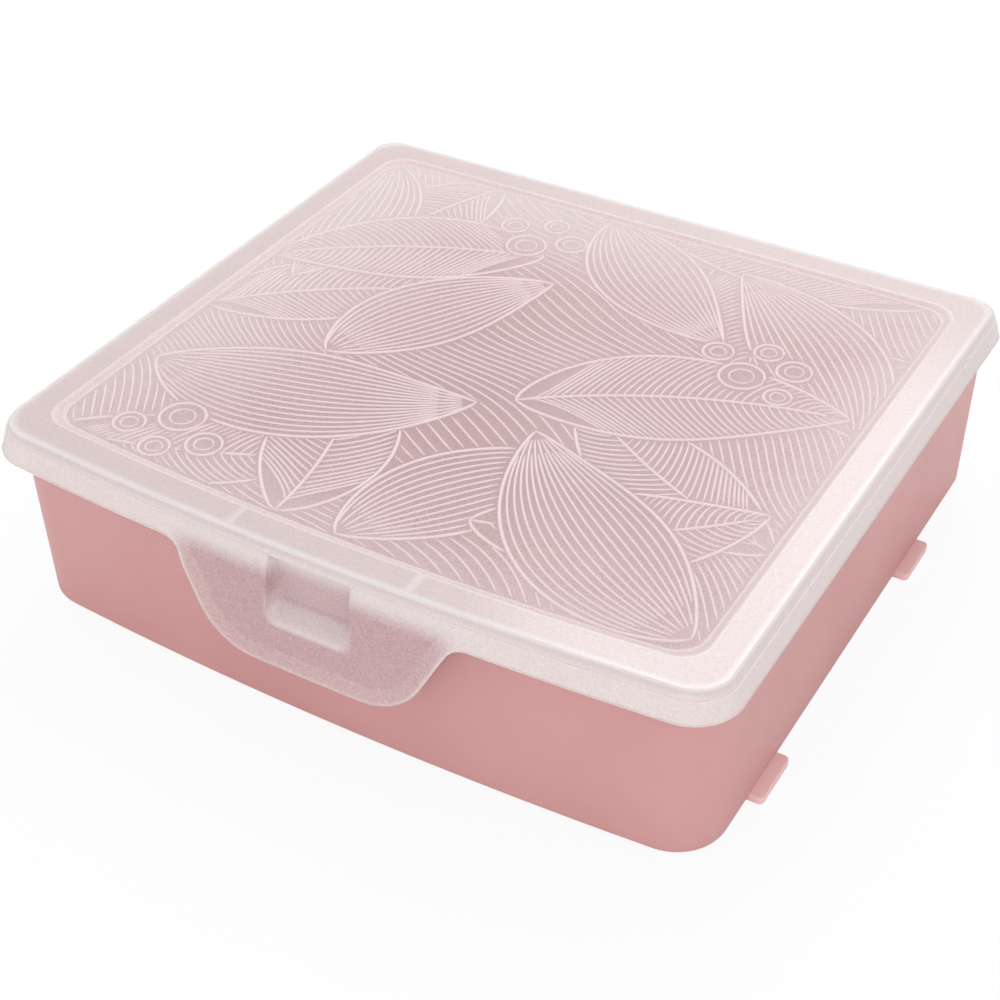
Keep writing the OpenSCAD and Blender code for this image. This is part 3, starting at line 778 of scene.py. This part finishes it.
# a motif covers those after it
MOTIFS = [
    Berry(-72, -74, 7.0), Berry(-58, -82, 5.4), Berry(-84, -84, 4.8), Berry(-70, -90, 4.6),
    Berry(62, 28, 7.0), Berry(75, 38, 5.4), Berry(50, 37, 4.8), Berry(64, 44, 4.6), Berry(76, 23, 4.2),
    Berry(-34, 64, 6.6), Berry(-21, 72, 5.2), Berry(-44, 74, 4.6), Berry(-31, 80, 4.2),
    Leaf(-100, -52, 8, 104, 22, 38, False),
    Leaf(102, -88, 150, 100, 22, -34, False),
    Leaf(8, -18, 30, 100, 22, -30),
    Leaf(-24, 60, -158, 92, 20, 30),
    Leaf(-22, -98, 100, 78, 19, 34),
    Leaf(104, 14, 128, 96, 20, 30, False),
    Leaf(-16, 94, -44, 84, 18, 26, False),
    Leaf(26, -74, 24, 84, 18, 34),
    Leaf(-104, 92, -76, 84, 17, -26, False),
    Leaf(98, 92, 176, 92, 18, 26),
    Leaf(-56, -24, 64, 82, 18, -24, False),
    Leaf(106, -46, 158, 92, 18, -26),
    Leaf(-60, 96, -112, 70, 17, 30),
    Leaf(-106, -20, 40, 84, 18, -30),
    Leaf(30, 96, -60, 80, 18, -22),
    Leaf(-2, -98, 58, 84, 18, -30, False),
    Leaf(-104, -98, 16, 92, 16, 24),
    Leaf(106, 60, -128, 80, 17, 26),
]


def ground_hatch():
    """Slowly waving lines that fill the ground between the leaves: a 9 mm wave and a 4 mm wave."""
    drawn = []
    x = np.arange(-150, 150, 1.2)
    cos, sin = math.cos(GROUND_TILT), math.sin(GROUND_TILT)
    for k in np.arange(-190, 190, HATCH * 1.05):
        y = k + (9 * np.sin(x / 34 + k / 47) + 4 * np.sin(x / 15 - k / 21))
        drawn.append((np.column_stack([x * cos - y * sin, x * sin + y * cos]), GROUND))
    return drawn


def resampled(line, step):
    """The same line with points at even steps."""
    run = np.concatenate([[0], np.cumsum(np.linalg.norm(np.diff(line, axis=0), axis=1))])
    if run[-1] < step:
        return line[:0]
    at = np.linspace(0, run[-1], max(int(run[-1] / step), 2) + 1)
    return np.column_stack([np.interp(at, run, line[:, 0]), np.interp(at, run, line[:, 1])])


def visible_runs(line, above):
    """The parts of a line that lie on the panel and under none of the motifs above it."""
    pts = resampled(line, CUT_STEP)
    if len(pts) < 4:
        return []
    keep = inside_loop(pts, PANEL_EDGE)
    for motif in above:
        keep &= ~motif.covers(pts, LINE_GAP)
    edges = np.flatnonzero(np.diff(np.concatenate([[0], keep.astype(int), [0]])))
    return [pts[a:b] for a, b in zip(edges[::2], edges[1::2]) if b - a > 4]


def ridge(pts, weight, first):
    """Points and faces of a ridge along a line, thinner at its ends. Its points count from first."""
    d = np.gradient(pts, axis=0)
    d /= np.linalg.norm(d, axis=1)[:, None] + 1e-9
    side = np.column_stack([-d[:, 1], d[:, 0]])
    from_end = np.minimum(np.arange(len(pts)), np.arange(len(pts))[::-1])
    swell = np.clip(0.45 + from_end * 0.25, 0, 1) * weight
    verts = [(p[0] + s[0] * a * w * LINE_W, p[1] + s[1] * a * w * LINE_W,
              PANEL_Z + h * min(w, 1.1) * LINE_H)
             for p, s, w in zip(pts, side, swell) for a, h in PROFILE]
    m, last = len(PROFILE), first + len(verts) - 1
    sides = [(first + i * m + j, first + i * m + (j + 1) % m)
             for i in range(len(pts) - 1) for j in range(m)]
    faces = [[a, a + m, b + m, b] for a, b in sides]
    return verts, faces + [list(range(first, first + m)), list(range(last, last - m, -1))]


def emboss():
    """All the panel's raised lines as one mesh of low rounded ridges."""
    drawn = [(line, weight, MOTIFS[:level])
             for level, motif in enumerate(MOTIFS) for line, weight in motif.lines()]
    drawn += [(line, weight, MOTIFS) for line, weight in ground_hatch()]
    verts, faces = [], []
    for line, weight, above in drawn:
        for run in visible_runs(line, above):
            pts = resampled(run, RIDGE_STEP)
            if len(pts) >= 3:
                more_verts, more_faces = ridge(pts, weight, len(verts))
                verts += more_verts
                faces += more_faces
    return make_mesh("panel_emboss", verts, faces, sharp=80)


# ---- the base ----

SEAT_SOFT, SEAT_SLOPE = 0.6, 4.0    # how far the seat's sides and foot run out
GRIP_SOFT = 1.2                     # how far the grips' ends run out
BASE_EDGE = 0.5                     # rounding of the rim, on either side
SIDE_SLACK = 0.7                    # points within this of a side wall belong to it
PARTITION_ROOT = 0.5                # how far the partitions reach into the floor
BASE_SOFT = 0.3                     # rounding of partitions, ears and feet


def seated(ring, wall):
    """Pushes the front wall in where the latch seat is, and the side walls in at the grips."""
    ring = ring.copy()
    x, y, z = ring.T
    inside = smoothstep((SEAT_HALF + wall + SEAT_SOFT / 2 - np.abs(x)) / SEAT_SOFT) * at_front(ring)
    inside = inside * smoothstep((z - SEAT_FOOT + wall) / SEAT_SLOPE)
    ring[:, 1] = y + inside * np.maximum(SEAT_Y + wall - y, 0)
    along = smoothstep((GRIP_W / 2 + wall + GRIP_SOFT / 2 - np.abs(y)) / GRIP_SOFT)
    depth = GRIP_DEPTH * np.clip((z - GRIP_FOOT) / (BASE_H - GRIP_FOOT), 0, 1) * along
    at_side = np.abs(x) > BOX_W / 2 - SIDE_GAP - SIDE_DRAFT - wall - SIDE_SLACK
    ring[:, 0] = x - np.sign(x) * depth * at_side
    return ring


def base_shell():
    """The base's skin: from its underside up the outside, over the rim and down inside to its floor."""
    inner_r = FOOT_ROUND - BASE_WALL / 2
    outer = [at_height(base_outline(0, FOOT_ROUND + 1.5), 0.0)]
    outer += [at_height(base_outline(z, inset), z)
              for inset, z in quarter_turn(FOOT_ROUND, np.linspace(0, 90, 9))]
    heights = np.unique(np.concatenate([np.linspace(FOOT_ROUND + 1.5, BASE_H - BASE_EDGE, 22),
                                        [GRIP_FOOT], SEAT_FOOT + np.linspace(-1, 5, 9)]))
    outer += [at_height(base_outline(z, 0), z) for z in heights]
    outer += [at_height(base_outline(BASE_H, inset), BASE_H - drop)
              for drop, inset in quarter_turn(BASE_EDGE, (30, 60, 90))]
    inner = [at_height(base_outline(BASE_H, BASE_WALL - inset), BASE_H - drop)
             for drop, inset in quarter_turn(BASE_EDGE, (90, 60, 30))]
    inner += [at_height(base_outline(z, BASE_WALL), z)
              for z in heights[::-1] if z > BASE_FLOOR + inner_r + 0.5]
    inner += [at_height(base_outline(BASE_FLOOR + rise, BASE_WALL + inset), BASE_FLOOR + rise)
              for inset, rise in quarter_turn(inner_r, np.linspace(90, 0, 7))]
    return loft("base_shell", [seated(ring, 0.0) for ring in outer]
                + [seated(ring, BASE_WALL) for ring in inner])


def partitions():
    """The two crossed partitions that split the store under the tray and carry it."""
    low = base_outline(BASE_FLOOR, BASE_WALL)
    half_t, into_wall, foot = BASE_WALL / 2, 0.6, BASE_FLOOR - PARTITION_ROOT
    half_x, back = low[:, 0].max() + into_wall, low[:, 1].max() + into_wall
    front = low[:, 1].min() - into_wall
    return [block("partition", (-half_x, -half_t, foot), (half_x, half_t, PARTITION_H), BASE_SOFT),
            block("partition", (-half_t, front, foot), (half_t, back, PARTITION_H), BASE_SOFT)]


def side_foot(y):
    """One of the two flat feet low on the right side, for standing the box on edge."""
    root = BOX_W / 2 - SIDE_GAP - SIDE_DRAFT - 2 / 3 * BASE_WALL
    reach = BOX_W / 2 - FOOT_SHORT
    plan = np.vstack([
        [(root, y - FOOT_L / 2)],
        arc(reach - FOOT_R, y - FOOT_L / 2 + FOOT_R, FOOT_R, -90, 0, 6),
        arc(reach - FOOT_R, y + FOOT_L / 2 - FOOT_R, FOOT_R, 0, 90, 6),
        [(root, y + FOOT_L / 2)]])
    return rounded(loft("side_foot", [at_height(plan, 0.0), at_height(plan, FOOT_T)]), BASE_SOFT)


def hinge_ears(x):
    """A pair of ears on the base's back wall, with the pin between them."""
    span = CLIP_W + 2 * CLIP_GAP
    root = HINGE_R + HINGE_GAP + BASE_WALL / 2
    heel = HINGE_R + EAR_HEEL
    top = arc(0, 0, HINGE_R, 90, 0, 10)
    side = [(-root, HINGE_R)] + top.tolist() + [(HINGE_R, -heel), (-root, -heel - HINGE_R - root)]
    side = [(HINGE_Y + y, HINGE_Z + z) for y, z in side][::-1]
    ears = [prism_x("ear", side, middle - EAR_T / 2, middle + EAR_T / 2, BASE_SOFT)
            for middle in (x - (span + EAR_T) / 2, x + (span + EAR_T) / 2)]
    pin = rod_x("pin", HINGE_Y, HINGE_Z, PIN_R, x - span / 2 - PIN_ROOT, x + span / 2 + PIN_ROOT)
    return ears + [pin]


# ---- the bobbin tray ----

TRAY_WALL, TRAY_GAP, TRAY_DRAFT = 1.4, 2.2, 0.8
TRAY_ROUND, TRAY_INNER_R, TRAY_EDGE = 2.0, 1.5, 0.4
CHANNEL_DROP, BAY_DROP, HANDLE_DROP = 6.0, 3.0, 0.4    # how far walls stop below the tray's rim
SLAB_ROOT = 0.4                                        # how far walls and ribs reach into its floor
CHANNEL_W, CHANNELS, BOBBIN_PITCH, TRAY_RIB_T, RIB_OUT = 22.4, 5, 13.0, 1.2, 1.0
HANDLE_W, HANDLE_H, HANDLE_BAR, BAY_SHARE = 44.0, 13.0, 3.0, 0.62
TRAY_Z = PARTITION_H + TRAY_REST
TRAY_FLOOR = TRAY_Z + TRAY_WALL
TRAY_TOP = TRAY_Z + TRAY_H
CHANNEL_X0 = -(BOX_W / 2 - SIDE_GAP - SIDE_DRAFT - BASE_WALL - TRAY_GAP - TRAY_DRAFT - TRAY_WALL)
HANDLE_X = CHANNEL_X0 + CHANNELS * (CHANNEL_W + TRAY_WALL) - TRAY_WALL
BAY_Y = -BOX_D / 2 + BAY_SHARE * BOX_D


def tray_outline(z, inset):
    """The tray's outline at a height, moved in by inset. Its walls lean in towards the floor."""
    return base_outline(z, BASE_WALL + TRAY_GAP + TRAY_DRAFT * (1 - (z - TRAY_Z) / TRAY_H) + inset)


def tray_shell():
    """The tray's skin: from its underside up the outside, over the rim and down inside to its floor."""
    places = [(inset, TRAY_Z + rise) for inset, rise in quarter_turn(TRAY_ROUND, np.linspace(0, 90, 6))]
    for turn in range(0, 181, 45):
        a = math.radians(turn)
        places.append((TRAY_WALL / 2 - (TRAY_WALL / 2) * math.cos(a),
                       TRAY_TOP - TRAY_EDGE + TRAY_EDGE * math.sin(a)))
    places += [(TRAY_WALL + inset, TRAY_FLOOR + rise)
               for inset, rise in quarter_turn(TRAY_INNER_R, np.linspace(90, 0, 6))]
    return loft("tray_shell", [at_height(tray_outline(z, inset), z) for inset, z in places])


def wall_ends(x, z):
    """Where a wall along Y at a given X ends, in the middle of the tray's front and back walls."""
    edge = tray_outline(z, TRAY_WALL / 2)
    ends = []
    for half in (edge[edge[:, 1] < 0], edge[edge[:, 1] > 0]):
        half = half[np.argsort(half[:, 0])]
        ends.append(float(np.interp(x, half[:, 0], half[:, 1])))
    return ends


def slab(x0, x1, y_low, y_high, top):
    """A wall between two X, with the Y of its two ends low down, at the tray's floor, and at its top."""
    foot = TRAY_FLOOR - SLAB_ROOT
    rings = [[(x0, y[0], z), (x1, y[0], z), (x1, y[1], z), (x0, y[1], z)]
             for y, z in ((y_low, foot), (y_high, top))]
    return loft("slab", [np.array(ring) for ring in rings])


def long_wall(x, top):
    """A wall from the tray's front to its back, whose ends follow the tray's leaning walls."""
    return slab(x, x + TRAY_WALL, wall_ends(x, TRAY_FLOOR), wall_ends(x, TRAY_TOP), top)


def pierced(obj):
    """Cuts the handle's finger hole, a slot with round ends, through what it is given."""
    r, half, reach = HANDLE_H / 2, (HANDLE_W - HANDLE_H) / 2, 2 * (TRAY_WALL + RIB_OUT)
    z, x = TRAY_TOP - HANDLE_BAR - r, HANDLE_X + TRAY_WALL / 2
    shape = np.vstack([arc(half, z, r, -90, 90), arc(-half, z, r, 90, 270)])
    cutter = prism_x("finger_hole", shape.tolist(), x - reach, x + reach)
    cut = obj.modifiers.new("hole", "BOOLEAN")
    cut.operation = "DIFFERENCE"
    cut.object = cutter
    apply_modifiers(obj)
    bpy.data.objects.remove(cutter)
    return obj


def channel_ribs(i, x):
    """The ribs on the wall at x that hold the bobbins. Wall 0 and the last one have them on one side."""
    room = BOX_D - 2 * (END_GAP + END_DRAFT + TRAY_GAP + BASE_WALL + TRAY_WALL)
    spaces = int(room / BOBBIN_PITCH) - 1
    x0 = x - RIB_OUT if i else x + TRAY_WALL / 2
    x1 = x + TRAY_WALL / 2 if i == CHANNELS else x + TRAY_WALL + RIB_OUT
    ribs = []
    for k in range(spaces + 1):
        y = (k - spaces / 2) * BOBBIN_PITCH - TRAY_RIB_T / 2
        ribs.append(slab(x0, x1, (y, y + TRAY_RIB_T), (y, y + TRAY_RIB_T), TRAY_TOP - CHANNEL_DROP))
    return ribs


def tray_walls():
    """The channels' walls and ribs, the bays' walls and the handle, a wall with a finger hole."""
    channel_x = [CHANNEL_X0 + i * (CHANNEL_W + TRAY_WALL) - TRAY_WALL for i in range(CHANNELS + 1)]
    walls = [long_wall(x, TRAY_TOP - CHANNEL_DROP) for x in channel_x[1:-1]]
    ribs = [channel_ribs(i, x) for i, x in enumerate(channel_x)]
    side = tray_outline(TRAY_Z + TRAY_H / 2, TRAY_WALL / 2)[:, 0].max()
    bay_x = (HANDLE_X + TRAY_WALL - CHANNEL_X0) / 2
    bay_ends = [(wall_ends(bay_x, z)[0], BAY_Y + TRAY_WALL / 2) for z in (TRAY_FLOOR, TRAY_TOP)]
    walls.append(slab(bay_x, bay_x + TRAY_WALL, *bay_ends, TRAY_TOP - BAY_DROP))
    across = (BAY_Y, BAY_Y + TRAY_WALL)
    walls.append(slab(HANDLE_X, side, across, across, TRAY_TOP - BAY_DROP))
    walls.append(pierced(long_wall(HANDLE_X, TRAY_TOP - HANDLE_DROP)))
    all_ribs = sum(ribs[:-1], []) + [pierced(join("handle_ribs", ribs[-1]))]
    return [rounded(join("tray_walls", walls), 0.3), rounded(join("tray_ribs", all_ribs), 0.2)]


# ---- the pieces ----

lid = join("lid_body", [lid_shell(), locating_rib(-1), locating_rib(1)]
           + hinge_clip(-HINGE_X) + hinge_clip(HINGE_X))
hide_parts("lid")
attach(lid, "lid")

lines = dress(emboss(), EMBOSSED)
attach(lines, "lid")

base_pieces = [dress(piece, PINK) for piece in
               [base_shell()] + partitions() + hinge_ears(-HINGE_X) + hinge_ears(HINGE_X)]
base_pieces += [dress(side_foot(y), PINK_FOOT_PAINTED_LIGHT) for y in FOOT_Y]
shell = join("base_body", base_pieces)
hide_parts("base")
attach(shell, "base")

tray = dress(join("bobbin_tray_body", [tray_shell()] + tray_walls()), PINK)
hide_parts("bobbin_tray")
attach(tray, "base")


# ---- floor, light and camera ----

WHITE = (1, 1, 1, 1)
FLOOR_COLOUR = (0.96, 0.96, 0.96, 1)
FLOOR_WHITE = 0.9                      # the share of plain white in what the camera sees of the floor
FLOOR_Z, FLOOR_HALF = -0.0003, 6.0     # its height and half its width, in metres
CAMERA_AT = (0.24062, -0.41329, 0.38263)
CAMERA_TURNS = ((30.674, "Z"), (52.427, "X"), (-0.383, "Z"))    # heading, downward tilt and roll
CAMERA_LENS, CAMERA_SENSOR = 67.52, 36.0


def floor():
    """A pale floor that takes the object's shadow."""
    n = Nodes("studio_floor")
    lit = n.add("ShaderNodeBsdfDiffuse", Color=FLOOR_COLOUR)
    white = n.add("ShaderNodeEmission", Color=WHITE, Strength=1.0)
    path = n.add("ShaderNodeLightPath")
    share = n.add("ShaderNodeMath")
    share.operation = "MULTIPLY"
    n.set(share, 0, path.outputs["Is Camera Ray"])
    n.set(share, 1, FLOOR_WHITE)
    mix = n.add("ShaderNodeMixShader")
    for socket, source in enumerate((share, lit, white)):
        n.set(mix, socket, source.outputs[0])
    n.set(n.out, "Surface", mix.outputs[0])
    corners = [(-1, -1), (1, -1), (1, 1), (-1, 1)]
    mesh = bpy.data.meshes.new("floor")
    mesh.from_pydata([(x * FLOOR_HALF, y * FLOOR_HALF, FLOOR_Z) for x, y in corners],
                     [], [(0, 1, 2, 3)])
    obj = link("floor", mesh)
    dress(obj, n.material)


def world(level):
    """Soft white light from all round. The camera itself sees plain white."""
    studio = bpy.data.worlds.new("studio")
    bpy.context.scene.world = studio
    studio.use_nodes = True
    tree = studio.node_tree
    tree.nodes.clear()
    out = tree.nodes.new("ShaderNodeOutputWorld")
    path = tree.nodes.new("ShaderNodeLightPath")
    mix = tree.nodes.new("ShaderNodeMixShader")
    tree.links.new(path.outputs["Is Camera Ray"], mix.inputs[0])
    for socket, strength in ((1, level), (2, 1.0)):
        glow = tree.nodes.new("ShaderNodeBackground")
        glow.inputs["Color"].default_value = WHITE
        glow.inputs["Strength"].default_value = strength
        tree.links.new(glow.outputs[0], mix.inputs[socket])
    tree.links.new(mix.outputs[0], out.inputs[0])


def softbox(name, place, aim, size, watts):
    """A rectangular area lamp at a place, turned towards an aim."""
    lamp = bpy.data.lights.new(name, "AREA")
    lamp.shape = "RECTANGLE"
    lamp.size, lamp.size_y = size
    lamp.energy = watts
    obj = link(name, lamp)
    obj.location = place
    obj.rotation_euler = (Vector(aim) - Vector(place)).to_track_quat("-Z", "Y").to_euler()


def camera():
    """The photograph's view."""
    data = bpy.data.cameras.new("camera")
    data.lens = CAMERA_LENS
    data.sensor_width = CAMERA_SENSOR
    data.clip_start = 0.01
    obj = link("camera", data)
    heading, tilt, roll = [Matrix.Rotation(math.radians(turn), 4, axis) for turn, axis in CAMERA_TURNS]
    obj.matrix_world = Matrix.Translation(CAMERA_AT) @ (heading @ tilt @ roll)
    bpy.context.scene.camera = obj


floor()
world(level=0.85)
softbox("back", place=(-0.2, 0.76, 0.94), aim=(0.1, 0, 0.065), size=(0.45, 0.7), watts=4.0)
softbox("fill", place=(0.5, -1.2, 0.3), aim=(0, 0, 0.02), size=(0.9, 0.6), watts=3.0)
camera()
bpy.context.scene.view_settings.view_transform = "Standard"
